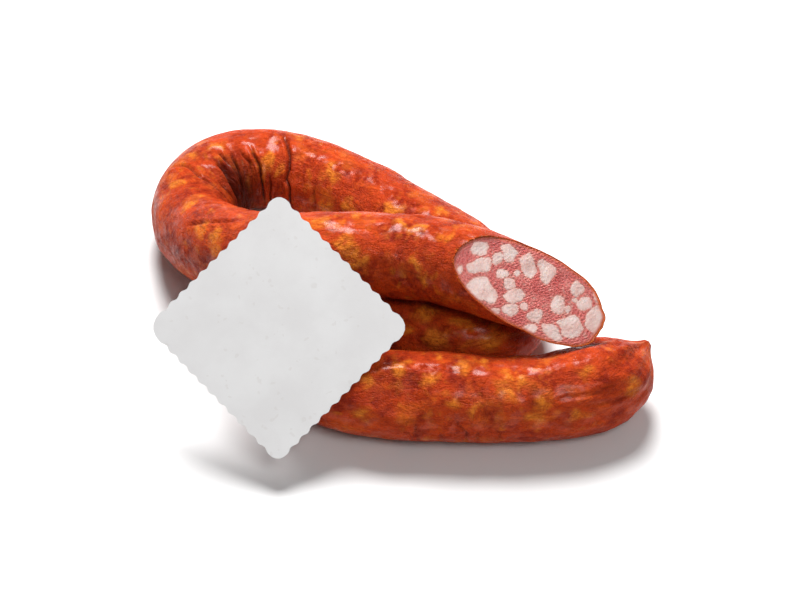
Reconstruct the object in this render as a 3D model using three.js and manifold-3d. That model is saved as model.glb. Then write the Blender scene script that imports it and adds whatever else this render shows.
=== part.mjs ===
// A coil of semi-smoked sausage in its natural casing, with a bare paper label resting on it.
// Millimetres, +Z up, origin under the middle of the coil on the surface that it rests on.
import * as THREE from 'three';
import { mergeVertices } from 'three/addons/utils/BufferGeometryUtils.js';
import Module from 'manifold-3d';

const wasm = await Module();
wasm.setup();

// Driving dimensions of the sausage.
const skinRadius = 19.3;
const sidesRound = 18;
const stationSpacing = 6.5;
const smoothingReach = 7;
const smoothingPasses = 3;
const bendLength = 60;
const bendReserve = 0.08;
const touchingGap = 0.5;
const endStations = [0, 0.8, 3, 6, 10, 15, 21];
const lengthDivisions = 4000;
const placeTolerance = 1e-3;
const weldDistance = 1e-4;
const upward = new THREE.Vector3(0, 0, 1);

// The middle line: pinched end, front arm, hairpin, middle arm, back bend, back arm, left bend, upper arm.
const route = [
  [114.5, -43, 25], [107.5, -50, 21.5], [99, -58.5, 19.5], [89, -65.5, 19], [75, -70, 19], [57, -72, 19],
  [37, -72, 19], [17, -71.5, 19], [-3, -70, 19], [-19, -66.5, 19],
  [-32, -60.5, 19], [-39.5, -50, 19], [-39.5, -37.5, 19], [-31.5, -28, 19], [-18, -25.5, 19],
  [-2, -27.8, 19], [13, -30.7, 19], [27, -32.8, 19],
  [39, -33.2, 19], [49, -29.5, 19], [53.5, -20, 19], [53, -7.5, 19], [47, 3, 19],
  [36.5, 14.5, 19], [23, 26.5, 19], [9, 40, 19], [-5, 52.3, 19], [-19, 63.5, 19], [-34, 74.5, 19],
  [-49, 81.5, 19], [-65, 84, 19],
  [-81, 80.5, 19], [-92, 70.5, 19], [-96.5, 57, 19], [-96.5, 42.5, 20.5], [-92, 28, 24.5],
  [-83.5, 14.5, 31], [-73, 2.5, 38.5], [-61, -8, 46], [-47.5, -16.5, 52.5], [-33, -21.5, 56.7],
  [-17, -21.5, 57.7], [-1, -21, 57.7], [13, -23, 57.7], [27, -27.5, 57.7], [41, -34, 57.7],
  [54, -41, 57.7], [67, -48.5, 57.7], [80, -56.3, 57.7], [93, -64, 57.7],
];

// Radius as a share of the skin radius, against the distance from the pinched end.
const girth = [
  [0, 0], [0.8, 0.11], [3, 0.16], [6, 0.3], [10, 0.54], [15, 0.76], [21, 0.9], [29, 0.98], [40, 1],
  [150, 1], [180, 0.97], [230, 1], [290, 0.98], [330, 1], [420, 1], [475, 1.045], [530, 1],
  [600, 0.99], [640, 0.985], [700, 0.93], [760, 0.9],
];

// The slanting knife cut at the far end: a point on it and the way it faces.
const cutPoint = new THREE.Vector3(61.4, -45.6, 57.6);
const cutFacing = new THREE.Vector3(0.215, -0.64, 0.74).normalize();
const knifeBlock = 160;
const lowestCut = 38.8;

// The paper label: a diamond card with a fluted edge, its corners cut at the top, left, bottom and right.
const labelHalfWidth = 57;
const labelHalfHeight = 58.4;
const labelThickness = 0.5;
const labelSlope = THREE.MathUtils.degToRad(41.7);
const labelCentre = new THREE.Vector3(-48.8, -60.5, 51.1);
const flutesPerSide = 11;
const fluteDepth = 1;
const samplesPerFlute = 6;
const cornerCuts = [6, 9, 6, 7.5];
const cornerSegments = 5;

// Linear reading of a table of pairs at a given place.
function readTable(table, place) {
  let index = 1;
  while (index < table.length - 1 && table[index][0] < place) {
    index += 1;
  }
  const [startPlace, startValue] = table[index - 1];
  const [endPlace, endValue] = table[index];
  const share = THREE.MathUtils.clamp((place - startPlace) / (endPlace - startPlace), 0, 1);
  return THREE.MathUtils.lerp(startValue, endValue, share);
}

// Averages each point with its neighbours, so that the curvature changes gently.
function smoothLine(points) {
  const last = points.length - 1;
  return points.map((point, index) => {
    const reach = Math.min(smoothingReach, index, last - index);
    const sum = new THREE.Vector3();
    for (let step = -reach; step <= reach; step += 1) {
      sum.add(points[index + step]);
    }
    return sum.divideScalar(2 * reach + 1);
  });
}

// The smoothed middle line as a curve with even spacing.
function makeMiddleLine() {
  const rough = new THREE.CatmullRomCurve3(route.map((place) => new THREE.Vector3(...place)));
  rough.arcLengthDivisions = lengthDivisions;
  let points = rough.getSpacedPoints(Math.round(rough.getLength()));
  for (let pass = 0; pass < smoothingPasses; pass += 1) {
    points = smoothLine(points);
  }
  const line = new THREE.CatmullRomCurve3(points);
  line.arcLengthDivisions = lengthDivisions;
  return line;
}

// A straight sausage as a lathe, closed at both ends, its length along Y, with a flat side facing down.
function makeStraightSausage(stationPlaces) {
  const profile = stationPlaces.map((place) => {
    return new THREE.Vector2(skinRadius * readTable(girth, place), place);
  });
  profile.push(new THREE.Vector2(0, stationPlaces[stationPlaces.length - 1]));
  return new THREE.LatheGeometry(profile, sidesRound, Math.PI / sidesRound);
}

// Stations along the length, close together at the pinched end.
function makeStations(length) {
  const start = endStations[endStations.length - 1];
  const count = Math.round((length - start) / stationSpacing);
  const evenPlaces = Array.from({ length: count }, (_, index) => {
    return start + ((index + 1) * (length - start)) / count;
  });
  return [...endStations, ...evenPlaces];
}

// How far a skin point may stand off its own middle line before it meets another stretch.
function roomForSkin(offset, own, middles, places) {
  let room = 1;
  middles.forEach((other, index) => {
    const across = other.clone().sub(middles[own]);
    const towards = 2 * offset.dot(across);
    if (towards > 0) {
      const distance = across.length();
      const sameBend = Math.abs(places[index] - places[own]) < bendLength;
      const gap = sameBend ? bendReserve * distance : touchingGap;
      room = Math.min(room, (distance * (distance - gap)) / towards);
    }
  });
  return room;
}

// Carries the straight sausage along the middle line and lets it settle on the surface below.
function bendSausage(straight, line, places, length) {
  const last = places.length - 1;
  const shares = places.map((place) => Math.min(1, place / length));
  const middles = shares.map((share) => line.getPointAt(share));
  const tangents = shares.map((share) => line.getTangentAt(share));
  const sides = tangents.map((tangent) => tangent.clone().cross(upward).normalize());
  const ups = sides.map((side, index) => side.clone().cross(tangents[index]));
  const position = straight.getAttribute('position');
  for (let index = 0; index < position.count; index += 1) {
    const place = position.getY(index);
    const own = Math.min(last, places.findIndex((other) => other >= place - placeTolerance));
    const offset = new THREE.Vector3();
    offset.addScaledVector(sides[own], position.getX(index));
    offset.addScaledVector(ups[own], position.getZ(index));
    offset.multiplyScalar(roomForSkin(offset, own, middles, places));
    const point = middles[own].clone().add(offset);
    position.setXYZ(index, point.x, point.y, Math.max(0, point.z));
  }
  return straight;
}

// A closed solid from a geometry, its shared vertices merged.
function toSolid(geometry) {
  const bare = geometry.clone();
  bare.deleteAttribute('normal');
  bare.deleteAttribute('uv');
  const merged = mergeVertices(bare, weldDistance);
  const corners = Array.from(merged.index.array);
  const used = [];
  for (let start = 0; start < corners.length; start += 3) {
    const [a, b, c] = corners.slice(start, start + 3);
    if (a !== b && b !== c && c !== a) {
      used.push(a, b, c);
    }
  }
  return new wasm.Manifold(new wasm.Mesh({
    numProp: 3,
    vertProperties: new Float32Array(merged.getAttribute('position').array),
    triVerts: new Uint32Array(used),
  }));
}

// The solid's triangles as a three.js geometry.
function toGeometry(solid) {
  const mesh = solid.getMesh();
  const geometry = new THREE.BufferGeometry();
  geometry.setAttribute('position', new THREE.BufferAttribute(mesh.vertProperties, 3));
  geometry.setIndex(new THREE.BufferAttribute(mesh.triVerts, 1));
  geometry.computeVertexNormals();
  return geometry;
}

// The space in front of the knife's plane, above the arm that lies below the cut end.
function makeKnifeSpace() {
  const block = new THREE.BoxGeometry(knifeBlock, knifeBlock, knifeBlock);
  block.translate(0, 0, knifeBlock / 2);
  block.applyQuaternion(new THREE.Quaternion().setFromUnitVectors(upward, cutFacing));
  block.translate(cutPoint.x, cutPoint.y, cutPoint.z);
  const below = new THREE.BoxGeometry(3 * knifeBlock, 3 * knifeBlock, knifeBlock);
  below.translate(0, 0, lowestCut - knifeBlock / 2);
  return toSolid(block).subtract(toSolid(below));
}

// The coil, cut off at its far end by the knife.
function makeSausage() {
  const line = makeMiddleLine();
  const length = line.getLength();
  const places = makeStations(length);
  const coil = toSolid(bendSausage(makeStraightSausage(places), line, places, length));
  const mesh = new THREE.Mesh(toGeometry(coil.subtract(makeKnifeSpace())), new THREE.MeshStandardMaterial({
    color: 0xa8401f,
    roughness: 0.35,
    metalness: 0,
  }));
  mesh.name = 'sausage';
  return mesh;
}

// The label's outline: straight sides with shallow flutes, and corners rounded by a curve.
function makeLabelOutline() {
  const corners = [
    new THREE.Vector2(0, labelHalfHeight), new THREE.Vector2(-labelHalfWidth, 0),
    new THREE.Vector2(0, -labelHalfHeight), new THREE.Vector2(labelHalfWidth, 0),
  ];
  const outline = new THREE.Shape();
  corners.forEach((corner, index) => {
    const next = corners[(index + 1) % corners.length];
    const after = corners[(index + 2) % corners.length];
    const nextCut = cornerCuts[(index + 1) % corners.length];
    const along = next.clone().sub(corner).normalize();
    const onwards = after.clone().sub(next).normalize();
    const outward = new THREE.Vector2(along.y, -along.x);
    const start = corner.clone().addScaledVector(along, cornerCuts[index]);
    const end = next.clone().addScaledVector(along, -nextCut);
    const steps = flutesPerSide * samplesPerFlute;
    if (index === 0) {
      outline.moveTo(start.x, start.y);
    }
    for (let step = 1; step <= steps; step += 1) {
      const depth = (fluteDepth * (Math.cos((2 * Math.PI * step) / samplesPerFlute) - 1)) / 2;
      const point = start.clone().lerp(end, step / steps).addScaledVector(outward, depth);
      outline.lineTo(point.x, point.y);
    }
    const turnEnd = next.clone().addScaledVector(onwards, nextCut);
    outline.quadraticCurveTo(next.x, next.y, turnEnd.x, turnEnd.y);
  });
  return outline;
}

// The label leans on the front arm and the upper arm.
function makeLabel() {
  const geometry = new THREE.ExtrudeGeometry(makeLabelOutline(), {
    depth: labelThickness,
    bevelEnabled: false,
    curveSegments: cornerSegments,
  });
  const mesh = new THREE.Mesh(geometry, new THREE.MeshStandardMaterial({
    color: 0xe8e6e3,
    roughness: 0.7,
    metalness: 0,
  }));
  mesh.name = 'label';
  mesh.position.copy(labelCentre);
  mesh.rotation.x = labelSlope;
  return mesh;
}

const part = new THREE.Group();
part.name = 'cured_sausage';
part.add(makeSausage(), makeLabel());

export default part;
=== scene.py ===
import bpy
import math
import numpy as np
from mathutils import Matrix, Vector


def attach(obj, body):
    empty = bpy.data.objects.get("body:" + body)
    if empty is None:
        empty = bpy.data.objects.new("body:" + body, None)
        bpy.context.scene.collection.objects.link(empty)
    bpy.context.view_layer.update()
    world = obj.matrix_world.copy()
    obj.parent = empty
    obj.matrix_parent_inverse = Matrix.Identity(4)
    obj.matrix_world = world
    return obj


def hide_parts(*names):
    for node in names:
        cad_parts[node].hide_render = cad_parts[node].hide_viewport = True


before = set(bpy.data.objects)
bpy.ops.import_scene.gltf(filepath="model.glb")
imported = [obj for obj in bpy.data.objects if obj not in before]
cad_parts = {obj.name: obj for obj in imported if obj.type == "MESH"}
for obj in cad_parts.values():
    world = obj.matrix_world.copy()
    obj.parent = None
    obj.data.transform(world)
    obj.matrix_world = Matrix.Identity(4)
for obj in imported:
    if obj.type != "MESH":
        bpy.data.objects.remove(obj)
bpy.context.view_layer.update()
scene = bpy.context.scene
mm = 0.001


# helpers for curves, noise and meshes
def unit(vectors):
    # each row divided by its own length
    return vectors / np.maximum(np.linalg.norm(vectors, axis=-1, keepdims=True), 1e-9)


def waveNoise(places, size, seed, waves=22):
    # a sum of cosine waves in random directions, each about `size` long, scaled to a spread of about one
    draw = np.random.default_rng(seed)
    directions = unit(draw.normal(size=(waves, places.shape[-1])))
    lengths = size * draw.uniform(0.7, 1.5, waves)
    shifts = draw.uniform(0, 2 * math.pi, waves)
    turns = places @ (directions * (2 * math.pi / lengths)[:, None]).T + shifts
    return np.cos(turns).sum(-1) * math.sqrt(2 / waves)


def smoothStep(value, low, high):
    # 0 below low, 1 above high, an S curve between
    share = np.clip((value - low) / (high - low), 0, 1)
    return share * share * (3 - 2 * share)


def splineThrough(points, perSpan=40):
    # centripetal Catmull-Rom: a cubic on each span, its end slopes weighted by
    # the root of the spans' lengths
    ends = np.vstack([2 * points[0] - points[1], points, 2 * points[-1] - points[-2]])
    before, start, end, after = ends[:-3], ends[1:-2], ends[2:-1], ends[3:]
    gapA = np.sqrt(np.linalg.norm(start - before, axis=1))[:, None]
    gapB = np.sqrt(np.linalg.norm(end - start, axis=1))[:, None]
    gapC = np.sqrt(np.linalg.norm(after - end, axis=1))[:, None]
    slopeIn = gapB * ((start - before) / gapA - (end - before) / (gapA + gapB) + (end - start) / gapB)
    slopeOut = gapB * ((end - start) / gapB - (after - start) / (gapB + gapC) + (after - end) / gapC)
    u = np.linspace(0, 1, perSpan, endpoint=False)[None, :, None]
    square = -3 * start + 3 * end - 2 * slopeIn - slopeOut
    cube = 2 * start - 2 * end + slopeIn + slopeOut
    spans = start[:, None] + slopeIn[:, None] * u + square[:, None] * u**2 + cube[:, None] * u**3
    return np.vstack([spans.reshape(-1, 3), points[-1:]])


def evenlySpaced(points, count):
    # the same line with its points at equal distances along it
    along = np.concatenate([[0], np.cumsum(np.linalg.norm(np.diff(points, axis=0), axis=1))])
    places = np.linspace(0, along[-1], count)
    return np.stack([np.interp(places, along, points[:, axis]) for axis in range(3)], -1), places


def averaged(points, reach, passes):
    # a running mean; past its ends the line goes on by point reflection
    weights = np.ones(2 * reach + 1) / (2 * reach + 1)
    for _ in range(passes):
        head = 2 * points[0] - points[reach:0:-1]
        tail = 2 * points[-1] - points[-2:-reach - 2:-1]
        padded = np.vstack([head, points, tail])
        points = np.stack([np.convolve(padded[:, axis], weights, "valid") for axis in range(3)], -1)
    return points


def gridFaces(rows, columns, closed=True):
    # quads between neighbouring points of a grid, wrapping round in its second direction
    row = np.arange(rows - 1)[:, None]
    column = np.arange(columns if closed else columns - 1)[None, :]
    following = (column + 1) % columns
    corners = [row * columns + column, row * columns + following,
               (row + 1) * columns + following, (row + 1) * columns + column]
    return np.stack([c.ravel() for c in corners], -1)


def meshObject(name, points, quads, triangles, attributes):
    # one mesh from arrays of points (mm), quads, triangles and per-point attributes
    mesh = bpy.data.meshes.new(name)
    mesh.vertices.add(len(points))
    mesh.vertices.foreach_set("co", (points * mm).astype(np.float32).ravel())
    corners = np.concatenate([quads.ravel(), triangles.ravel()]).astype(np.int32)
    sizes = np.concatenate([np.full(len(quads), 4), np.full(len(triangles), 3)])
    mesh.loops.add(len(corners))
    mesh.loops.foreach_set("vertex_index", corners)
    mesh.polygons.add(len(sizes))
    starts = np.concatenate([[0], np.cumsum(sizes)[:-1]]).astype(np.int32)
    mesh.polygons.foreach_set("loop_start", starts)
    mesh.polygons.foreach_set("use_smooth", np.ones(len(sizes), bool))
    mesh.update(calc_edges=True)
    mesh.validate()
    for label, values in attributes.items():
        kind = "FLOAT_VECTOR" if values.ndim == 2 else "FLOAT"
        layer = mesh.attributes.new(label, kind, "POINT")
        field = "vector" if values.ndim == 2 else "value"
        layer.data.foreach_set(field, values.astype(np.float32).ravel())
    piece = bpy.data.objects.new(name, mesh)
    scene.collection.objects.link(piece)
    return piece


# the coil's skin, straightened and then laid along its middle line
coil = {
    "radius": 19.3,          # mm, a casing 38 to 39 mm thick
    "stations": 800,         # rings along the length
    "around": 112,           # points round each ring
    "middleKnots": 758,      # points of the route's spline before it is smoothed
    "smoothReach": 7,        # neighbours to each side in the running mean of the middle line
    "smoothPasses": 3,
    "bendReserve": 0.07,     # share of a tight bend's radius kept free on its inside
    "sameBend": 60.0,        # mm along, stretches nearer than this belong to one bend
    "roomSharpness": 14,     # how suddenly the skin stops at its limit
    "touchingGap": 0.5,      # mm between two stretches that touch
    "lumps": 0.42,           # mm, broad unevenness
    "bumps": 0.16,           # mm, pieces of fat that press the casing out
    "foldDepth": 0.8,        # mm, fine creases on the inside of every bend
    "foldSpacing": 8.0,      # mm along the middle line
    "fineFoldDepth": 0.25,   # mm
    "fineFoldSpacing": 3.4,  # mm
    "pinchFolds": 0.13,      # share of the radius, folds that run to the pinched end
    "fatSwell": 0.25,        # mm, the listed pieces of fat press the casing out
    "route": [
        (114.5, -43, 25), (107.5, -50, 21.5), (99, -58.5, 19.5), (89, -65.5, 19), (75, -70, 19),
        (57, -72, 19), (37, -72, 19), (17, -71.5, 19), (-3, -70, 19), (-19, -66.5, 19),
        (-32, -60.5, 19), (-39.5, -50, 19), (-39.5, -37.5, 19), (-31.5, -28, 19), (-18, -25.5, 19),
        (-2, -27.8, 19), (13, -30.7, 19), (27, -32.8, 19), (39, -33.2, 19), (49, -29.5, 19),
        (53.5, -20, 19), (53, -7.5, 19), (47, 3, 19), (36.5, 14.5, 19), (23, 26.5, 19), (9, 40, 19),
        (-5, 52.3, 19), (-19, 63.5, 19), (-34, 74.5, 19), (-49, 81.5, 19), (-65, 84, 19),
        (-81, 80.5, 19), (-92, 70.5, 19), (-96.5, 57, 19), (-96.5, 42.5, 20.5), (-92, 28, 24.5),
        (-83.5, 14.5, 31), (-73, 2.5, 38.5), (-61, -8, 46), (-47.5, -16.5, 52.5), (-33, -21.5, 56.7),
        (-17, -21.5, 57.7), (-1, -21, 57.7), (13, -23, 57.7), (27, -27.5, 57.7), (41, -34, 57.7),
        (54, -41, 57.7), (67, -48.5, 57.7), (80, -56.3, 57.7), (93, -64, 57.7),
    ],
    "girth": [
        (0, 0), (0.7, 0.1), (3, 0.17), (6, 0.31), (10, 0.56), (15, 0.78), (21, 0.91), (29, 0.985),
        (40, 1), (150, 1), (180, 0.97), (230, 1), (290, 0.98), (330, 1), (420, 1), (475, 1.05),
        (530, 1), (600, 0.99), (640, 0.985), (700, 0.93), (760, 0.9),
    ],
    "cutPoint": (61.4, -45.6, 57.6),
    "cutFacing": (0.215, -0.64, 0.74),
    "cutSearch": 640.0,      # mm along, the cut lies beyond this
    "cutStretch": 60.0,      # mm of the arm whose rings lean over into the cut
    "edgeScale": 0.985,      # inner side of the casing's cut edge, as a share of the rim
    "bedScale": 0.975,       # outer side of the bed under the cut meat
    "bedDepth": 0.32,        # mm
    "labelPlace": (-48.8, -60.5, 51.1),
    "labelFacing": (0.0, -0.6652, 0.7466),
    "labelReach": 64.0,      # mm to each side of the label's middle
    "labelGap": 0.35,        # mm between the skin and the label's back
    "denseStart": 425.0,     # mm, rings lie closer together along the wrinkled bend
    "denseEnd": 590.0,
    "denseExtra": 0.9,       # share of rings added there
    "denseFade": 15.0,       # mm
    # single creases: depth and width in mm, then points (mm along, degrees round from the top)
    "creases": [
        (1.3, 0.9, [(488.6, 44), (489.5, 13), (491.4, 3), (498.8, -16), (505, -42), (508, -75),
                    (509, -110)]),
        (3.4, 2.6, [(476.5, -14), (478.3, -30), (480, -42), (484, -55), (487, -68), (489, -100)]),
        (1.7, 1.0, [(454.1, -8), (453.1, -29), (448.5, -48), (447.5, -61), (446.6, -77), (446, -110)]),
        (1.6, 1.0, [(439, 18), (434.5, -6), (430.7, -26), (428, -45), (429, -61), (425.2, -71),
                    (425, -105)]),
        (0.9, 0.9, [(409.3, -40), (409.3, -58), (408.4, -71), (406, -90)]),
        (1.0, 0.8, [(540.8, 38), (552, 26), (564, 16), (574, 8)]),
        (1.0, 0.9, [(537, 2), (542, -12), (548, -24), (556, -40), (560, -60), (560, -90)]),
        (1.1, 0.9, [(460.6, -17), (458.7, -32), (455, -41), (456, -55)]),
        (1.2, 0.9, [(441, -58), (440.1, -77), (441, -90), (440, -110)]),
        (1.5, 1.1, [(465, -14), (467, -30), (467, -50), (470, -72), (471, -100)]),
        (1.2, 0.9, [(471.5, -8), (472.5, -24), (474, -40)]),
        (1.1, 0.9, [(494, -40), (497, -60), (499, -85), (498, -110)]),
        (1.0, 0.9, [(520, -20), (522, -45), (527, -70), (528, -100)]),
        (0.7, 0.7, [(113.7, -75), (113.2, -93), (111.9, -125)]),
        (0.8, 0.7, [(96, -58), (96.4, -74), (92.3, -93), (91.4, -119)]),
        (0.7, 0.7, [(86.7, -88), (87.2, -101), (86.7, -116)]),
        (0.7, 0.7, [(80.2, -85), (78.3, -103), (77.4, -119)]),
        (0.6, 0.7, [(101.6, -94), (102.2, -110), (101.6, -127)]),
        (0.5, 0.7, [(30, -40), (41, -48), (52, -46), (60, -54)]),
        (0.5, 0.7, [(22, -62), (34, -66), (47, -60)]),
        (0.6, 0.8, [(148, -60), (150, -80), (147, -105)]),
        (0.6, 0.8, [(655, -20), (650, -32), (640, -38)]),
    ],
    # pieces of fat close under the casing: mm along, degrees round from the top, half size in mm
    "fatSpots": [
        (470, 0, 3), (482, 16, 4), (503, 16, 4), (531, 10, 4.5), (524, -16, 3), (462, -71, 4),
        (446, -51, 4.5), (442, -35, 4), (432, 19, 3.5), (407, -19, 3.5), (403, -29, 4), (555, 32, 3.5),
        (568, 42, 4), (569, 58, 3), (400, -78, 4), (435, -51, 3), (621, 29, 3), (623, 44, 5),
        (627, 56, 4.5), (646, 0, 3.5), (650, 11, 3), (653, 3, 3), (656, 55, 3), (662, 74, 3),
        (626, -19, 3), (344, 6, 4), (361, -29, 4), (366, -35, 3.5), (387, -58, 3.5), (613, 0, 3),
        (241, 19, 5), (247, 50, 5), (667, 13, 3), (94, 3, 5), (76, -16, 4), (75, -39, 4.5),
        (61, -51, 3.5), (64, -71, 4), (43, -19, 3), (27, -58, 4), (121, -3, 4), (134, -29, 4),
        (99, -51, 3), (90, -58, 3), (266, 56, 4.5), (134, -74, 3), (48, -74, 3.5), (69, -22, 2.5),
        (256, 30, 4), (275, 35, 4), (232, 42, 4), (108, -20, 3), (85, 10, 3.5), (105, 20, 3),
    ],
}


def middleLine():
    # the coil's middle line: a spline through the route, smoothed, at even spacing
    rough, _ = evenlySpaced(splineThrough(np.array(coil["route"], float)), coil["middleKnots"])
    smooth = averaged(rough, coil["smoothReach"], coil["smoothPasses"])
    return evenlySpaced(smooth, coil["stations"])


def roomForSkin(offsets, middles, places):
    # the share of each offset that stays nearer to its own stretch than to any other:
    # half the way to the other middle point, less a gap, measured along the offset;
    # a soft minimum of that share and one
    others, otherPlaces = middles[::4], places[::4]
    batch, unlimited, sharpness = 80, 9, coil["roomSharpness"]
    room = np.ones(offsets.shape[:2])
    for start in range(0, len(middles), batch):
        own = slice(start, start + batch)
        across = others[None] - middles[own, None]
        distance = np.linalg.norm(across, axis=-1)
        sameBend = np.abs(otherPlaces[None] - places[own, None]) < coil["sameBend"]
        gap = np.where(sameBend, coil["bendReserve"] * distance, coil["touchingGap"])
        towards = 2 * np.einsum("nmc,njc->nmj", offsets[own], across)
        limit = (distance * (distance - gap))[:, None] / np.maximum(towards, 1e-6)
        limit = np.where(towards > 1e-6, limit, unlimited).min(-1)
        room[own] = 1 / (1 + (1 / np.maximum(limit, 1e-3)) ** sharpness) ** (1 / sharpness)
    return room


def creaseRelief(along, angles, radius):
    # each crease is a polyline on the unrolled skin; its depth falls off as a bell with the distance
    # from the line and fades out towards both of its ends
    relief, mask = np.zeros_like(along), np.zeros_like(along)
    turn = (np.degrees(angles) + 180) % 360 - 180
    sway = 0.22 * waveNoise(np.stack([along, turn * 0.33 + 0 * along], -1), 12, 41)
    flat = np.stack([along + sway, np.radians(turn) * radius + 0 * along], -1)
    for depth, width, line in coil["creases"]:
        knots = np.array([(place, math.radians(angle) * coil["radius"]) for place, angle in line])
        parts = np.linalg.norm(np.diff(knots, axis=0), axis=1)
        starts = np.concatenate([[0], np.cumsum(parts)])
        nearest, share = np.full(along.shape, 99.0), np.zeros_like(along)
        for index, part in enumerate(parts):
            way = (knots[index + 1] - knots[index]) / part
            reach = np.clip((flat - knots[index]) @ way, 0, part)
            gap = np.linalg.norm(flat - knots[index] - reach[..., None] * way, axis=-1)
            share = np.where(gap < nearest, (starts[index] + reach) / starts[-1], share)
            nearest = np.minimum(nearest, gap)
        fade = smoothStep(share, -0.02, 0.25) * (1 - 0.8 * smoothStep(share, 0.85, 1.02))
        valley = np.exp(-(nearest / width) ** 2)
        banks = 0.3 * np.exp(-(nearest / width - 2) ** 2)
        relief -= depth * fade * (valley - banks)
        # the mask marks each crease for painted shadow in the casing's colour
        mask = np.maximum(mask, fade * min(1, depth / 1.6) * np.exp(-(nearest / (0.8 * width)) ** 2))
    return relief, mask


def fatUnderSkin(along, angles):
    # soft-edged blots about the listed places, their outlines pushed about by noise
    turn = (np.degrees(angles) + 180) % 360 - 180
    unrolled = np.stack([along, np.radians(turn) * coil["radius"] + 0 * along], -1)
    pushed = unrolled + 1.1 * np.stack([waveNoise(unrolled, 9, 42), waveNoise(unrolled, 9, 43)], -1)
    amount = np.zeros_like(along)
    for place, angle, size in coil["fatSpots"]:
        centre = np.array([place, math.radians(angle) * coil["radius"]])
        away = np.linalg.norm(pushed - centre, axis=-1) / size
        amount = np.maximum(amount, 1 - smoothStep(away, 0.35, 1.35))
    return amount


def makeSkin():
    # a point is its ring's middle plus the way outwards times radius and relief, held back where
    # another stretch or the label is near; the last rings lean over into the knife's plane
    middles, places = middleLine()
    angles = np.linspace(0, 2 * math.pi, coil["around"], endpoint=False)[None, :]
    cutPoint = np.array(coil["cutPoint"])
    facing = unit(np.array(coil["cutFacing"]))
    tableGirth = np.array(coil["girth"])
    girth = np.interp(places, tableGirth[:, 0], tableGirth[:, 1])
    blur, pinchEnd = 12, 35
    window = np.ones(2 * blur + 1) / (2 * blur + 1)
    evened = np.convolve(np.pad(girth, blur, "edge"), window, "valid")
    girth = np.where(places > pinchEnd, evened, girth)

    # lean the last rings over, so that the last one lies in the knife's plane
    tangents = unit(np.gradient(middles, axis=0))
    sides = unit(np.cross(tangents, [0, 0, 1.0]))
    ups = np.cross(sides, tangents)
    radial = np.cos(angles)[..., None] * ups[:, None] + np.sin(angles)[..., None] * sides[:, None]
    reach = (middles - cutPoint)[:, None] + radial * (coil["radius"] * girth)[:, None, None]
    height = reach @ facing
    beyond = (height > 0) & (places > coil["cutSearch"])[:, None]
    cutIndex = np.argmax(beyond, axis=0)
    column = np.arange(coil["around"])
    above, below = height[cutIndex, column], height[cutIndex - 1, column]
    step = places[1] - places[0]
    cutPlace = places[cutIndex] - step * above / (above - below)
    start = cutPlace.min() - coil["cutStretch"]
    count = np.sum(places <= start)
    share = np.linspace(0, 1, coil["stations"] - count + 1)[1:, None]
    lastPlaces = start + (cutPlace[None] - start) * share
    fine = np.linspace(0, start, 4000)
    extra, fade = coil["denseExtra"], coil["denseFade"]
    density = 1 + extra * smoothStep(fine, coil["denseStart"] - fade, coil["denseStart"])
    density -= extra * smoothStep(fine, coil["denseEnd"], coil["denseEnd"] + fade)
    passed = np.cumsum(density) - density[0]
    evenShare = np.linspace(0, 1, count)
    firstPlaces = np.repeat(np.interp(evenShare, passed / passed[-1], fine)[:, None], coil["around"], 1)
    along = np.vstack([firstPlaces, lastPlaces])

    def onLine(values):
        # a quantity known along the middle line, read at each grid point's own place
        return np.stack([np.interp(along, places, values[:, axis]) for axis in range(3)], -1)

    centre = onLine(middles)
    side, up = unit(onLine(sides)), unit(onLine(ups))
    radial = np.cos(angles)[..., None] * up + np.sin(angles)[..., None] * side
    radius = coil["radius"] * np.interp(along, places, girth)

    # the straightened sausage: where each point is round it and along it, for noise and materials
    usual = 19               # mm, a rounded radius
    straight = [np.cos(angles) * usual + 0 * along, np.sin(angles) * usual + 0 * along, along]
    straight = np.stack(straight, -1)

    # creases on the inside of bends
    turning = np.gradient(tangents, places, axis=0)
    turning = averaged(turning, 9, 2)
    bend = onLine(turning) * usual
    strength = np.linalg.norm(bend, axis=-1)
    inner = np.sum(radial * unit(bend + 1e-9), -1)
    bunch = smoothStep(strength * (0.35 + 0.65 * inner), 0.2, 0.85)
    wander = waveNoise(straight, 30, 3) * 0.9
    phase = math.pi * along / coil["foldSpacing"] + wander
    crease = np.exp(-(np.sin(phase) / 0.28) ** 2)
    phaseFine = math.pi * along / coil["fineFoldSpacing"] + 1.4 * waveNoise(straight, 18, 4)
    creaseFine = np.exp(-(np.sin(phaseFine) / 0.4) ** 2)
    relief = -coil["foldDepth"] * bunch * crease - coil["fineFoldDepth"] * bunch * creaseFine
    relief += 0.4 * bunch
    singles, singleCreaseShadow = creaseRelief(along, angles, radius)
    relief += singles
    fatSpots = fatUnderSkin(along, angles)
    relief += coil["fatSwell"] * fatSpots

    # broad lumps and pieces of fat under the casing, which die out at the pinched end
    settled = smoothStep(along, 4, 30)
    relief += settled * coil["lumps"] * waveNoise(straight, 46, 5)
    relief += settled * coil["bumps"] * waveNoise(straight * [1, 1, 0.8], 11, 6)
    relief += settled * 0.05 * waveNoise(straight, 4.2, 7)
    relief += settled * 0.22 * np.maximum(waveNoise(straight, 13, 8) - 0.9, 0)

    # folds that gather to the pinched end
    gather = smoothStep(along, 0.5, 5) * (1 - smoothStep(along, 8, 42))
    pleats = np.cos(7 * angles + 1.2 * waveNoise(straight, 26, 9))
    pleats = pleats + 0.5 * np.cos(13 * angles + 0.1 * along)
    relief += radius * coil["pinchFolds"] * gather * (pleats - 0.4) * 0.5

    offsets = radial * (radius + relief)[..., None]
    firstPlace = along[:, 0]
    room = roomForSkin(radial * radius[..., None], centre[:, 0], firstPlace)
    leaning = smoothStep(firstPlace, start - 12, start)[:, None]
    room = room * (1 - leaning) + leaning
    points = centre + offsets * room[..., None]

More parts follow.
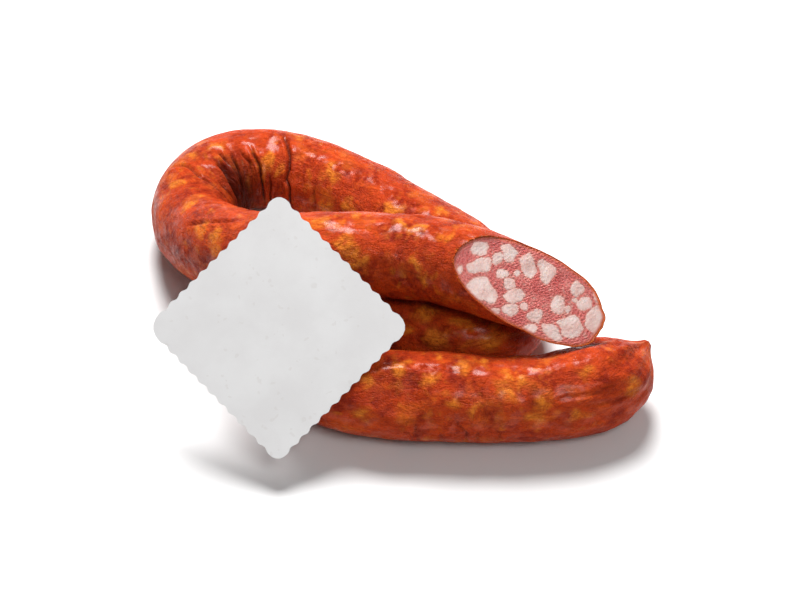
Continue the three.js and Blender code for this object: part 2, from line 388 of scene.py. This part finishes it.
    # the label presses it flat where they touch, and it lies slightly flattened on the surface
    labelWay = np.array(coil["labelFacing"])
    fromLabel = points - np.array(coil["labelPlace"])
    excess = np.maximum(fromLabel @ labelWay + coil["labelGap"], 0)
    covered = smoothStep(coil["labelReach"] - np.abs(fromLabel[..., 0]), 0, 6)
    points -= (excess * covered)[..., None] * labelWay
    points[..., 2] = np.maximum(points[..., 2], 0)
    armWay = unit(tangents[-30])    # a ring past the cut, where the arm is straight
    last = points[-1]
    points[-1] = last - np.outer((last - cutPoint) @ facing / (armWay @ facing), armWay)
    rim = points[-1]

    # closing rings: a thin edge of casing, then a bed just under the cut meat
    middle = rim.mean(0)
    inwards = armWay / (armWay @ facing)
    bed = coil["bedDepth"]
    steps = ((coil["edgeScale"], 0.0), (coil["bedScale"], bed), (0.6, bed), (0.2, bed))
    closing = [middle + (rim - middle) * scale - inwards * depth for scale, depth in steps]
    rings = np.vstack([points[1:], np.array(closing)])
    grid = rings.reshape(-1, 3)
    tip, floorPoint = points[0].mean(0), middle - inwards * bed
    everything = np.vstack([grid, tip, floorPoint])
    rows, columns = len(rings), coil["around"]
    ring = np.arange(columns)
    following = (ring + 1) % columns
    tipFan = np.stack([np.full(columns, len(grid)), following, ring], -1)
    lastRing = (rows - 1) * columns
    floorFan = np.stack([lastRing + ring, lastRing + following, np.full(columns, len(grid) + 1)], -1)
    quads = gridFaces(rows, columns)
    triangles = np.vstack([tipFan, floorFan])
    closingStraight = np.repeat(straight[-1:], len(closing), 0)
    gridPlaces = np.vstack([straight[1:], closingStraight]).reshape(-1, 3)
    place = np.vstack([gridPlaces, straight[0, :1], straight[-1, :1]])
    # painted shade for the inside of bends, stored as the 'bunch' attribute
    shade = np.vstack([bunch[1:], np.zeros((len(closing), columns))]).ravel()
    # painted shadow along the folds and single creases, stored as the 'crease' attribute
    shadows = np.maximum(0.55 * bunch * crease, singleCreaseShadow)
    creaseShadowAll = np.vstack([shadows[1:], np.zeros((len(closing), columns))]).ravel()
    fatAll = np.vstack([fatSpots[1:], np.zeros((len(closing), columns))]).ravel()
    edge = np.zeros(len(everything))
    edge[(len(points) - 1) * columns:] = 1
    skin = meshObject("sausage_skin", everything, quads, triangles, {
        "skinPlace": place * mm,
        "bunch": np.append(shade, [0, 0]),
        "crease": np.append(creaseShadowAll, [0, 0]),
        "fatUnder": np.append(fatAll, [0, 0]),
        "cutEdge": edge,
    })
    print("skin made:", len(quads) * 2 + len(triangles), "triangles")
    return skin, rim, inwards


# the cut meat: a disc just inside the casing's edge
cutFace = {
    "rings": 150,
    "around": 420,
    "proud": 0.06,           # mm, fat stands above the meat
    "groove": 0.03,          # mm, depth of the line round each piece of fat
    "grain": 0.07,           # mm, unevenness of the meat
    "rounding": 1.1,         # mm, radius of the corners of the fat pieces
    "swell": 0.15,           # mm, extra size of the fat pieces
    "scale": 0.972,          # outer edge, as a share of the casing's rim
    "thickness": 0.26,       # mm, less than the bed's depth
    "rimDrop": 0.12,         # mm, the edge sinks towards the casing
    "longWay": (0.8677, -0.4971, 0.0),
    # pieces of fat: corners in mm along and across the cut, from its middle
    "fat": [
        [(-33.6, 4.2), (-32.9, 6.5), (-30.5, 9), (-27.5, 9.5),
         (-25.9, 8.5), (-26.6, 6.2), (-28.7, 3.9), (-31.6, 3.1)],
        [(-32, -3.7), (-29.6, -0.4), (-26.8, 2.8), (-24.2, 4.6), (-22.7, 2.8),
         (-22.2, 0.2), (-23.8, -1.9), (-27.7, -4.4), (-30.9, -5.1)],
        [(-23.4, 4.9), (-22.7, 7.1), (-21.1, 9.2), (-19.3, 8.9),
         (-18.4, 6.5), (-19.5, 4.3), (-20.9, 2.6), (-22.2, 2.9)],
        [(-21.6, 11.8), (-19.9, 12.8), (-16.8, 13.2), (-14.2, 13.1), (-13.9, 10.6),
         (-14.1, 7.6), (-16, 6.9), (-18.1, 7.7), (-19.4, 9.5)],
        [(-34.6, -7.2), (-34.9, -5.2), (-33.8, -4.5), (-32.9, -5.6), (-32.9, -7.8), (-33.7, -8.8)],
        [(-28.8, -10.3), (-27.2, -7), (-21.9, -3.6), (-18.7, -6.6), (-15.7, -8.2),
         (-12.7, -9.9), (-15.1, -12.4), (-19.5, -13.9), (-23.8, -14.8), (-27.5, -13.9)],
        [(-18.3, 0), (-17.8, 2.3), (-15.6, 3), (-13.7, 2.1), (-13.8, 0.1), (-15.2, -1.6), (-17.4, -1.3)],
        [(-11.8, 3.4), (-11.2, 5.3), (-9.6, 5.2), (-9, 3.7), (-10.2, 2.4)],
        [(-14, -2), (-12.4, 0.1), (-9.8, 0.8), (-8.4, -0.7), (-9.4, -2.4), (-11.8, -3.6), (-13.4, -3.3)],
        [(-11.5, -7.9), (-10.8, -4.8), (-8.3, -2.5), (-5.2, -1.3),
         (-3.1, -2.6), (-3.6, -5.3), (-6.4, -8), (-9.5, -9)],
        [(-10.1, -12.7), (-8.8, -10.6), (-6.1, -8.7), (-3.8, -8.6),
         (-2.9, -10.7), (-4.5, -13.4), (-7.4, -14.3), (-9.4, -13.9)],
        [(-14.6, -16.6), (-13.1, -13.7), (-11.1, -13.3), (-10.3, -15.1), (-11.3, -17.4), (-13.3, -17.5)],
        [(-11.3, 9.7), (-11.1, 12.7), (-9.7, 14), (-6.6, 12.5), (-4.3, 10.4),
         (-3.2, 7.1), (-3.7, 4.7), (-6.3, 4.8), (-9.1, 6.6)],
        [(-3.9, 12.8), (-2.9, 14.8), (0.5, 14.4), (4.1, 13), (5.1, 11.3),
         (4.2, 8.3), (3.3, 5.5), (0.8, 7), (-2.1, 9.8)],
        [(1.6, -10.2), (2.2, -7.7), (3.7, -6.2), (6.9, -6.4),
         (8, -8.3), (7.4, -10.8), (4.9, -11.7), (2.8, -11.7)],
        [(1, -16.5), (3.2, -14.3), (5.5, -13), (7.7, -13.1), (8.6, -15.2), (7.2, -17.5), (4, -17.5)],
        [(8.6, -10.5), (11.2, -9.6), (13.9, -9.3), (16.8, -10.7), (20.7, -12.6),
         (19.1, -14), (15, -14.6), (11.9, -13.5), (9.8, -12.1)],
        [(9.2, -1.6), (9.3, 2), (10.7, 3.8), (13.1, 4.3),
         (14.6, 1.1), (15, -2.3), (13.6, -3.9), (10.9, -3.6)],
        [(15.2, -7.2), (16.7, -4.3), (20.5, -0.6), (22.7, -1.3), (25.2, -3.6),
         (26.8, -4.6), (25.9, -8.2), (22.8, -10.9), (19.7, -10.6), (17.3, -8.6)],
        [(14.1, 8.4), (14.3, 11), (15.8, 13.3), (18.2, 13),
         (19.4, 11.1), (19.1, 8.7), (18, 7.1), (15.6, 7.4)],
        [(19, 4.1), (20.3, 6.9), (23, 9), (25.4, 8.7), (26, 6.5), (23.9, 4), (20.9, 3.2)],
        [(16.6, 4.1), (17.4, 6), (18.7, 5.7), (18.4, 3.9)],
        [(25.4, 0.8), (26.4, 4.9), (29.2, 8.5), (32, 9.6), (33.5, 7.1),
         (34.8, 2.7), (35.3, -1.4), (32.8, -4), (28.9, -3.5), (26.5, -1.9)],
        [(23.9, 14.1), (25.8, 14.1), (28.7, 12.6), (30.3, 10.5),
         (28.9, 9.1), (26.3, 10.2), (24.4, 12.2)],
        [(14.8, 0.5), (16.2, 1.5), (17.8, 0.5), (16.8, -1.4)],
        [(-3.1, -7.9), (-2.2, -6), (-0.5, -5.8), (0.1, -7.7), (-1, -9.3), (-2.6, -9.1)],
    ],
}


def fatDistance(flat):
    # how far each point is outside the nearest piece of fat: its distance to the nearest side of the
    # piece's outline, negative inside, the corners rounded off and the points pushed about by noise
    farAway = 99.0
    wobble = np.stack([waveNoise(flat, 7, 21), waveNoise(flat, 7, 22)], -1) * 0.28
    fine = np.stack([waveNoise(flat, 2.6, 23), waveNoise(flat, 2.6, 24)], -1) * 0.07
    moved = flat + wobble + fine
    nearest = np.full(flat.shape[:-1], farAway)
    for outline in cutFace["fat"]:
        corners = np.array(outline)
        middle = corners.mean(0)
        size = np.linalg.norm(corners - middle, axis=1).mean()
        rounding = min(cutFace["rounding"], 0.5 * size)
        corners = middle + (corners - middle) * (1 - rounding / size)
        following = np.roll(corners, -1, axis=0)
        side = following - corners
        spin = np.sign(np.sum(corners[:, 0] * following[:, 1] - following[:, 0] * corners[:, 1]))
        arrow = moved[..., None, :] - corners
        share = np.clip(np.sum(arrow * side, -1) / np.sum(side * side, -1), 0, 1)
        gap = np.linalg.norm(arrow - share[..., None] * side, axis=-1).min(-1)
        outward = spin * (arrow[..., 1] * side[:, 0] - arrow[..., 0] * side[:, 1])
        inside = np.all(outward > 0, axis=-1)
        distance = np.where(inside, -gap, gap) - rounding - cutFace["swell"]
        nearest = np.minimum(nearest, distance)
    return nearest


def makeCutFace(rim, inwards):
    # rings from the middle out to the rim's own outline, scaled; fat stands proud by its mask,
    # with a groove along its edge and noise on the meat
    cutPoint, facing = np.array(coil["cutPoint"]), unit(np.array(coil["cutFacing"]))
    middle = rim.mean(0)
    longWay = unit(np.array(cutFace["longWay"]))
    longWay = unit(longWay - facing * (longWay @ facing))
    wideWay = np.cross(facing, longWay)
    outlineX, outlineY = (rim - middle) @ longWay, (rim - middle) @ wideWay
    bearing = np.unwrap(np.arctan2(outlineY, outlineX))
    if bearing[-1] < bearing[0]:
        outlineX, outlineY, bearing = outlineX[::-1], outlineY[::-1], bearing[::-1]
    turns = bearing[0] + np.linspace(0, 2 * math.pi, cutFace["around"], endpoint=False)
    closedBearing = np.append(bearing, bearing[0] + 2 * math.pi)
    spread = np.hypot(outlineX, outlineY)
    reach = np.interp(turns, closedBearing, np.append(spread, spread[0])) * cutFace["scale"]
    share = np.linspace(0, 1, cutFace["rings"] + 1)[1:, None] ** 0.8
    x, y = share * reach * np.cos(turns), share * reach * np.sin(turns)
    shift = np.array([(middle - cutPoint) @ longWay, (middle - cutPoint) @ wideWay])
    flat = np.stack([x, y], -1) + shift
    fat = fatDistance(flat)
    rimDistance = (1 - share) * reach * 0.75
    isFat = smoothStep(-fat, -0.12, 0.35)
    relief = cutFace["proud"] * isFat - cutFace["groove"] * np.exp(-(fat / 0.22) ** 2)
    relief += cutFace["grain"] * (1 - isFat) * (waveNoise(flat, 1.3, 31) + 0.6 * waveNoise(flat, 0.8, 32))
    relief += 0.05 * waveNoise(flat, 9, 33) + 0.02 * isFat * waveNoise(flat, 1.8, 34)
    relief -= cutFace["rimDrop"] * np.exp(-rimDistance / 0.5)
    top = middle + x[..., None] * longWay + y[..., None] * wideWay + relief[..., None] * facing
    below = middle - inwards * cutFace["thickness"]
    under = below + x[-1:, :, None] * longWay + y[-1:, :, None] * wideWay
    rings = np.vstack([top, under])
    grid = rings.reshape(-1, 3)
    everything = np.vstack([grid, middle, below])
    rows, columns = len(rings), cutFace["around"]
    ring = np.arange(columns)
    following = (ring + 1) % columns
    topFan = np.stack([np.full(columns, len(grid)), ring, following], -1)
    lastRing = (rows - 1) * columns
    underFan = np.stack([lastRing + following, lastRing + ring, np.full(columns, len(grid) + 1)], -1)
    quads = gridFaces(rows, columns)[:, ::-1]
    flatAll = np.vstack([np.vstack([flat, flat[-1:]]).reshape(-1, 2), shift, shift])
    place = np.hstack([flatAll, np.zeros((len(flatAll), 1))])
    fatAll = np.append(np.vstack([fat, fat[-1:]]).ravel(), [fat[0, 0], 9])
    rimAll = np.append(np.vstack([rimDistance, 0 * rimDistance[-1:]]).ravel(), [20, 0])
    face = meshObject("cut_meat", everything, quads, np.vstack([topFan, underFan]), {
        "facePlace": place * mm,
        "fatDistance": fatAll,
        "rimDistance": rimAll,
    })
    print("cut face made:", len(quads) * 2 + 2 * columns, "triangles")
    return face


# short ways to build shader trees
def addNode(tree, kind, inputs=None, **settings):
    # a node with its settings and inputs; an input is a value or another node's output socket
    node = tree.nodes.new(kind)
    for name, value in settings.items():
        setattr(node, name, value)
    for name, value in (inputs or {}).items():
        socket = node.inputs[name]
        if isinstance(value, bpy.types.NodeSocket):
            tree.links.new(value, socket)
        else:
            socket.default_value = value
    return node


def calculate(tree, operation, first, second=0.0, third=0.0):
    # one arithmetic step on sockets or values
    return addNode(tree, "ShaderNodeMath", {0: first, 1: second, 2: third}, operation=operation).outputs[0]


def rescale(tree, value, low, high, newLow=0.0, newHigh=1.0):
    # an S curve from newLow at low to newHigh at high
    inputs = {"Value": value, "From Min": low, "From Max": high, "To Min": newLow, "To Max": newHigh}
    return addNode(tree, "ShaderNodeMapRange", inputs, interpolation_type="SMOOTHSTEP").outputs["Result"]


def mixColour(tree, share, first, second):
    # first at share 0, second at share 1
    node = addNode(tree, "ShaderNodeMix", data_type="RGBA")
    for socket, value in ((node.inputs[0], share), (node.inputs[6], first), (node.inputs[7], second)):
        if isinstance(value, bpy.types.NodeSocket):
            tree.links.new(value, socket)
        elif isinstance(value, (int, float)):
            socket.default_value = value
        else:
            socket.default_value = (*value, 1)
    return node.outputs[2]


def stretched(tree, vector, scale):
    # the place with each axis times its own scale
    return addNode(tree, "ShaderNodeMapping", {"Vector": vector, "Scale": scale}).outputs["Vector"]


def noise(tree, vector, scale, detail=3.0, roughness=0.5, distortion=0.0):
    # fractal noise from 0 to 1; scale is in waves per metre
    inputs = {"Vector": vector, "Scale": scale, "Detail": detail, "Roughness": roughness,
              "Distortion": distortion}
    return addNode(tree, "ShaderNodeTexNoise", inputs).outputs["Fac"]


def cells(tree, vector, scale):
    # the distance to the nearest of scattered points, smoothed; scale is in points per metre
    inputs = {"Vector": vector, "Scale": scale}
    return addNode(tree, "ShaderNodeTexVoronoi", inputs, feature="SMOOTH_F1").outputs["Distance"]


def newGroup(name, inputs, outputs):
    # a shader node group with named inputs (name: default) and value outputs
    group = bpy.data.node_groups.new(name, "ShaderNodeTree")
    for label, default in inputs.items():
        kind = "NodeSocketVector" if default is None else "NodeSocketFloat"
        socket = group.interface.new_socket(label, in_out="INPUT", socket_type=kind)
        if default is not None:
            socket.default_value = default
    for label in outputs:
        group.interface.new_socket(label, in_out="OUTPUT", socket_type="NodeSocketFloat")
    return group, group.nodes.new("NodeGroupInput").outputs, group.nodes.new("NodeGroupOutput").inputs


def useGroup(tree, group, inputs):
    # a copy of the group in this tree, its inputs filled in; the outputs come back
    node = tree.nodes.new("ShaderNodeGroup")
    node.node_tree = group
    for name, value in inputs.items():
        if isinstance(value, bpy.types.NodeSocket):
            tree.links.new(value, node.inputs[name])
        else:
            node.inputs[name].default_value = value
    return node.outputs


def startMaterial(name, **settings):
    # an empty material with one Principled BSDF whose plain sockets are set here
    material = bpy.data.materials.new(name)
    material.use_nodes = True
    tree = material.node_tree
    shader = tree.nodes["Principled BSDF"]
    for label, value in settings.items():
        shader.inputs[label.replace("_", " ")].default_value = value
    return material, tree, shader


def attribute(tree, name, output="Fac"):
    # a value stored on the mesh's points
    return addNode(tree, "ShaderNodeAttribute", attribute_name=name).outputs[output]


def makeMottling():
    # blotches: soft spots where a cell pattern's distance is small and a slow noise agrees,
    # clouds from a slow noise, and fine grains from a quick one; the cells are bent by noise
    bendSize = 0.007         # m
    group, given, out = newGroup("mottling", {"Place": None, "Spot Scale": 90.0, "Cloud Scale": 30.0},
                                 ["Spots", "Clouds", "Grains"])
    bent = addNode(group, "ShaderNodeTexNoise", {"Vector": given["Place"], "Scale": 140.0, "Detail": 2.0})
    shift = addNode(group, "ShaderNodeVectorMath", {0: bent.outputs["Color"], 1: (0.5, 0.5, 0.5)},
                    operation="SUBTRACT").outputs[0]
    shift = addNode(group, "ShaderNodeVectorMath", {0: shift, "Scale": bendSize},
                    operation="SCALE").outputs[0]
    moved = addNode(group, "ShaderNodeVectorMath", {0: given["Place"], 1: shift},
                    operation="ADD").outputs[0]
    spot = rescale(group, cells(group, moved, given["Spot Scale"]), 0.42, 0.16)
    slowScale = calculate(group, "MULTIPLY", given["Spot Scale"], 0.45)
    chosen = rescale(group, noise(group, given["Place"], slowScale, 1.0), 0.46, 0.62)
    group.links.new(calculate(group, "MULTIPLY", spot, chosen), out["Spots"])
    group.links.new(noise(group, given["Place"], given["Cloud Scale"], 4.0, 0.55), out["Clouds"])
    quickScale = calculate(group, "MULTIPLY", given["Spot Scale"], 6.0)
    group.links.new(noise(group, given["Place"], quickScale, 3.0, 0.65), out["Grains"])
    return group


def makeWrinkles():
    # fine creases: one minus the folded distance of a warped noise from its middle value,
    # at two sizes, with a finer leathery grain on top
    group, given, out = newGroup("fineWrinkles", {"Place": None, "Scale": 180.0, "Grain": 0.3},
                                 ["Height", "Lines"])
    broad = noise(group, given["Place"], given["Scale"], 5.0, 0.6, 0.6)
    folded = calculate(group, "ABSOLUTE", calculate(group, "SUBTRACT", broad, 0.5))
    lines = rescale(group, folded, 0.0, 0.07)
    smallScale = calculate(group, "MULTIPLY", given["Scale"], 3.2)
    small = noise(group, given["Place"], smallScale, 4.0, 0.6, 0.3)
    foldedSmall = calculate(group, "ABSOLUTE", calculate(group, "SUBTRACT", small, 0.5))
    grain = calculate(group, "MULTIPLY", rescale(group, foldedSmall, 0.0, 0.1), given["Grain"])
    height = calculate(group, "MULTIPLY_ADD", lines, 0.6, grain)
    group.links.new(height, out["Height"])
    group.links.new(lines, out["Lines"])
    return group


# the casing's look: linear colours
casing = {
    "red": (0.52, 0.050, 0.006),
    "dark": (0.25, 0.015, 0.003),
    "orange": (0.68, 0.095, 0.009),
    "amber": (0.80, 0.235, 0.020),
    # painted shade: near black for the inside of bends
    "folded": (0.055, 0.004, 0.001),
    "shadow": (0.05, 0.006, 0.003),
    "cutEdge": (0.62, 0.130, 0.030),
    "scatter": (1.0, 0.3, 0.12),    # how far red, green and blue light spread
    "roughness": 0.44,
    "bumpHeight": 0.0007,    # m
    "bumpStrength": 0.6,
}


def makeCasingMaterial(mottling, wrinkles):
    # red clouds over a dark ground, then orange patches, amber fat, dark grains, painted shade along the
    # wrinkles and on the inside of bends, painted shadow in the creases, cut edge
    material, tree, shader = startMaterial(
        "casing", Coat_Roughness=0.2, Subsurface_Weight=0.1, Subsurface_Scale=0.003, IOR=1.4,
        Specular_IOR_Level=0.12)
    shader.inputs["Subsurface Radius"].default_value = casing["scatter"]
    place = attribute(tree, "skinPlace", "Vector")
    broad = useGroup(tree, mottling, {"Place": place, "Spot Scale": 95.0, "Cloud Scale": 75.0})
    small = useGroup(tree, mottling, {"Place": place, "Spot Scale": 210.0, "Cloud Scale": 320.0})
    lengthwise = stretched(tree, place, (1.0, 1.0, 0.5))
    lines = useGroup(tree, wrinkles, {"Place": lengthwise, "Scale": 190.0, "Grain": 0.5})
    crosswise = stretched(tree, place, (0.5, 0.5, 1.5))
    rings = useGroup(tree, wrinkles, {"Place": crosswise, "Scale": 150.0, "Grain": 0.3})

    # red-brown clouds, finer ones over them, orange patches, then fat that shines through
    cloud = rescale(tree, broad["Clouds"], 0.38, 0.6)
    colour = mixColour(tree, cloud, casing["dark"], casing["red"])
    fineCloud = rescale(tree, small["Clouds"], 0.38, 0.62, 0.0, 0.75)
    colour = mixColour(tree, fineCloud, colour, casing["red"])
    patch = rescale(tree, noise(tree, place, 110.0, 4.0, 0.6, 0.4), 0.5, 0.68, 0.0, 0.55)
    colour = mixColour(tree, patch, colour, casing["orange"])
    specks = calculate(tree, "MULTIPLY", small["Spots"], 0.3)
    colour = mixColour(tree, specks, colour, casing["amber"])
    veiled = rescale(tree, small["Clouds"], 0.3, 0.6, 0.35, 1.0)
    placed = calculate(tree, "MULTIPLY", attribute(tree, "fatUnder"), veiled)
    fat = calculate(tree, "MAXIMUM", placed, calculate(tree, "MULTIPLY", broad["Spots"], 0.3))
    colour = mixColour(tree, calculate(tree, "MULTIPLY", fat, 0.8), colour, casing["amber"])
    grains = rescale(tree, small["Grains"], 0.52, 0.72, 0.0, 0.45)
    colour = mixColour(tree, grains, colour, casing["dark"])
    # painted shade along the fine wrinkles' lines, in the dark casing colour
    valley = calculate(tree, "MULTIPLY", calculate(tree, "SUBTRACT", 1.0, lines["Lines"]), 0.35)
    colour = mixColour(tree, valley, colour, casing["dark"])
    # painted shade: the inside of every bend darkened towards near black
    folded = rescale(tree, attribute(tree, "bunch"), 0.0, 0.65, 0.0, 0.85)
    colour = mixColour(tree, folded, colour, casing["folded"])
    # painted shadow in the folds and single creases
    shadowed = calculate(tree, "MULTIPLY", attribute(tree, "crease"), 0.9)
    colour = mixColour(tree, shadowed, colour, casing["shadow"])
    colour = mixColour(tree, attribute(tree, "cutEdge"), colour, casing["cutEdge"])
    tree.links.new(colour, shader.inputs["Base Color"])

    smoothest, roughest = casing["roughness"] - 0.1, casing["roughness"] + 0.14
    rough = rescale(tree, broad["Grains"], 0.3, 0.7, smoothest, roughest)
    tree.links.new(rough, shader.inputs["Roughness"])
    coat = rescale(tree, noise(tree, place, 160.0, 4.0), 0.45, 0.65, 0.0, 0.3)
    tree.links.new(coat, shader.inputs["Coat Weight"])
    height = calculate(tree, "ADD", lines["Height"], calculate(tree, "MULTIPLY", rings["Height"], 0.7))
    peel = noise(tree, place, 420.0, 4.0, 0.6)
    height = calculate(tree, "MULTIPLY_ADD", peel, 1.6, height)
    height = calculate(tree, "MULTIPLY_ADD", noise(tree, place, 150.0, 2.0), 2.2, height)
    bump = addNode(tree, "ShaderNodeBump",
                   {"Height": height, "Strength": casing["bumpStrength"],
                    "Distance": casing["bumpHeight"]})
    tree.links.new(bump.outputs["Normal"], shader.inputs["Normal"])
    return material


# the cut meat's look: linear colours
meat = {
    "pink": (0.78, 0.185, 0.160),
    "red": (0.60, 0.070, 0.064),
    "dark": (0.30, 0.030, 0.028),
    "halo": (0.72, 0.300, 0.230),
    "fat": (0.78, 0.470, 0.420),
    "fatPale": (0.85, 0.620, 0.570),
    "fatEdge": (0.76, 0.360, 0.300),
    "edge": (0.64, 0.120, 0.055),
    "grain": (0.70, 0.26, 0.23),
    "spot": (0.72, 0.36, 0.30),
    "scatter": (1.0, 0.4, 0.25),    # how far red, green and blue light spread
    "bumpHeight": 0.0002,    # m
    "bumpStrength": 0.4,
}


def makeMeatMaterial(mottling, wrinkles):
    # meat and fat are mixed by the ragged distance to the fat; the casing's red seeps in at the rim
    material, tree, shader = startMaterial(
        "cut_meat", Coat_Roughness=0.25, Subsurface_Weight=0.2, Subsurface_Scale=0.002, IOR=1.42)
    shader.inputs["Subsurface Radius"].default_value = meat["scatter"]
    place = attribute(tree, "facePlace", "Vector")
    fine = useGroup(tree, mottling, {"Place": place, "Spot Scale": 420.0, "Cloud Scale": 160.0})
    fibres = useGroup(tree, wrinkles, {"Place": place, "Scale": 650.0, "Grain": 0.7})
    distance = attribute(tree, "fatDistance")
    frayed = calculate(tree, "SUBTRACT", noise(tree, place, 700.0, 3.0), 0.5)
    fuzz = calculate(tree, "MULTIPLY", frayed, 0.5)
    ragged = calculate(tree, "ADD", distance, fuzz)
    isFat = rescale(tree, ragged, 0.3, -0.3)
    nearFat = rescale(tree, ragged, 1.1, 0.0)

    matrix = mixColour(tree, rescale(tree, fine["Clouds"], 0.3, 0.7), meat["red"], meat["pink"])
    grains = rescale(tree, fine["Grains"], 0.45, 0.7, 0.0, 0.65)
    matrix = mixColour(tree, grains, matrix, meat["grain"])
    matrix = mixColour(tree, calculate(tree, "MULTIPLY", fine["Spots"], 0.6), matrix, meat["spot"])
    dark = calculate(tree, "MULTIPLY", calculate(tree, "SUBTRACT", 1.0, fibres["Lines"]), 0.2)
    matrix = mixColour(tree, dark, matrix, meat["dark"])
    matrix = mixColour(tree, calculate(tree, "MULTIPLY", nearFat, 0.4), matrix, meat["halo"])
    fatColour = mixColour(tree, rescale(tree, fine["Clouds"], 0.35, 0.65), meat["fat"], meat["fatPale"])
    veins = calculate(tree, "MULTIPLY", rescale(tree, ragged, -1.6, 0.0), 0.4)
    fatColour = mixColour(tree, veins, fatColour, meat["fatEdge"])
    colour = mixColour(tree, isFat, matrix, fatColour)
    rimShare = rescale(tree, attribute(tree, "rimDistance"), 1.3, 0.1, 0.0, 0.9)
    colour = mixColour(tree, rimShare, colour, meat["edge"])
    tree.links.new(colour, shader.inputs["Base Color"])
    tree.links.new(rescale(tree, fine["Grains"], 0.3, 0.7, 0.34, 0.55), shader.inputs["Roughness"])
    tree.links.new(rescale(tree, isFat, 0.0, 1.0, 0.25, 0.45), shader.inputs["Coat Weight"])
    height = calculate(tree, "MULTIPLY_ADD", fine["Grains"], 0.8, fibres["Height"])
    height = calculate(tree, "MULTIPLY", height, rescale(tree, isFat, 0.0, 1.0, 1.0, 0.35))
    bump = addNode(tree, "ShaderNodeBump",
                   {"Height": height, "Strength": meat["bumpStrength"],
                    "Distance": meat["bumpHeight"]})
    tree.links.new(bump.outputs["Normal"], shader.inputs["Normal"])
    return material


# the label's look: linear colours
card = {
    "shade": (0.72, 0.71, 0.71),
    "light": (0.77, 0.765, 0.765),
    "fibre": (0.6, 0.58, 0.56),
    "fleck": (0.62, 0.59, 0.57),
    "roughness": 0.62,
    "bumpHeight": 0.0001,    # m
    "bumpStrength": 0.25,
}


def makePaperMaterial(mottling):
    # pale clouds, long fibres and a few flecks
    material, tree, shader = startMaterial("paper", Roughness=card["roughness"])
    place = addNode(tree, "ShaderNodeTexCoord").outputs["Object"]
    pulp = useGroup(tree, mottling, {"Place": place, "Spot Scale": 330.0, "Cloud Scale": 45.0})
    fibre = noise(tree, stretched(tree, place, (1.0, 3.5, 3.5)), 420.0, 5.0, 0.7, 1.2)
    flecks = rescale(tree, pulp["Spots"], 0.55, 0.9, 0.0, 0.3)
    cloud = rescale(tree, pulp["Clouds"], 0.3, 0.7)
    colour = mixColour(tree, cloud, card["shade"], card["light"])
    colour = mixColour(tree, rescale(tree, fibre, 0.62, 0.75, 0.0, 0.22), colour, card["fibre"])
    colour = mixColour(tree, flecks, colour, card["fleck"])
    tree.links.new(colour, shader.inputs["Base Color"])
    tree.links.new(rescale(tree, pulp["Grains"], 0.3, 0.7, 0.5, 0.7), shader.inputs["Roughness"])
    bump = addNode(tree, "ShaderNodeBump",
                   {"Height": fibre, "Strength": card["bumpStrength"], "Distance": card["bumpHeight"]})
    tree.links.new(bump.outputs["Normal"], shader.inputs["Normal"])
    return material


mottling = makeMottling()
wrinkles = makeWrinkles()
print("shader groups made")

skin, rim, inwards = makeSkin()
skin.data.materials.append(makeCasingMaterial(mottling, wrinkles))
face = makeCutFace(rim, inwards)
face.data.materials.append(makeMeatMaterial(mottling, wrinkles))
for piece in (skin, face):
    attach(piece, "root")
    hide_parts("sausage")

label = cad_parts["label"]
label.data.materials.clear()
label.data.materials.append(makePaperMaterial(mottling))
print("label finished")

# floor, camera and light, in metres and watts
stage = {
    "floorSize": 6.0,
    "floorColour": (0.8, 0.8, 0.8, 1),
    "floorRoughness": 0.6,
    "cameraPlace": (0.001, -0.629, 0.614),
    "cameraDown": 44.0,      # degrees below the horizon
    "lens": 85.0,            # mm
    "sensor": 36,            # mm
    "world": 0.14,
    "lightTarget": (0, 0, 0.02),
    # name, place, size and power of each light
    "lights": [
        ("softBack", (-0.05, 0.55, 1.0), 0.6, 24),
        ("softFront", (0.35, -0.7, 1.0), 0.5, 4.4),
    ],
}


def makeFloorMaterial():
    # one plain pale colour
    material, _, shader = startMaterial("floor", Roughness=stage["floorRoughness"])
    shader.inputs["Base Color"].default_value = stage["floorColour"]
    return material


def makeFloor():
    # one square on the ground
    half = stage["floorSize"] / 2
    mesh = bpy.data.meshes.new("floor")
    corners = [(-half, -half, 0), (half, -half, 0), (half, half, 0), (-half, half, 0)]
    mesh.from_pydata(corners, [], [(0, 1, 2, 3)])
    floor = bpy.data.objects.new("floor", mesh)
    scene.collection.objects.link(floor)
    mesh.materials.append(makeFloorMaterial())


def makeLight(name, place, size, power):
    # a round soft light at its place, turned to face the target
    lamp = bpy.data.lights.new(name, "AREA")
    lamp.shape = "DISK"
    lamp.size = size
    lamp.energy = power
    light = bpy.data.objects.new(name, lamp)
    light.location = place
    facing = Vector(stage["lightTarget"]) - Vector(place)
    light.rotation_euler = facing.to_track_quat("-Z", "Y").to_euler()
    scene.collection.objects.link(light)


def makeCamera():
    # level sideways, tipped down by its angle
    lens = bpy.data.cameras.new("camera")
    lens.lens = stage["lens"]
    lens.sensor_width = stage["sensor"]
    lens.clip_start = 0.01
    camera = bpy.data.objects.new("camera", lens)
    camera.location = stage["cameraPlace"]
    camera.rotation_euler = (math.radians(90 - stage["cameraDown"]), 0, 0)
    scene.collection.objects.link(camera)
    scene.camera = camera


makeCamera()
makeFloor()
for light in stage["lights"]:
    makeLight(*light)
world = bpy.data.worlds.new("studio")
scene.world = world
world.use_nodes = True
background = world.node_tree.nodes["Background"]
background.inputs["Color"].default_value = (1, 1, 1, 1)
background.inputs["Strength"].default_value = stage["world"]
scene.view_settings.view_transform = "Standard"
print("stage made")
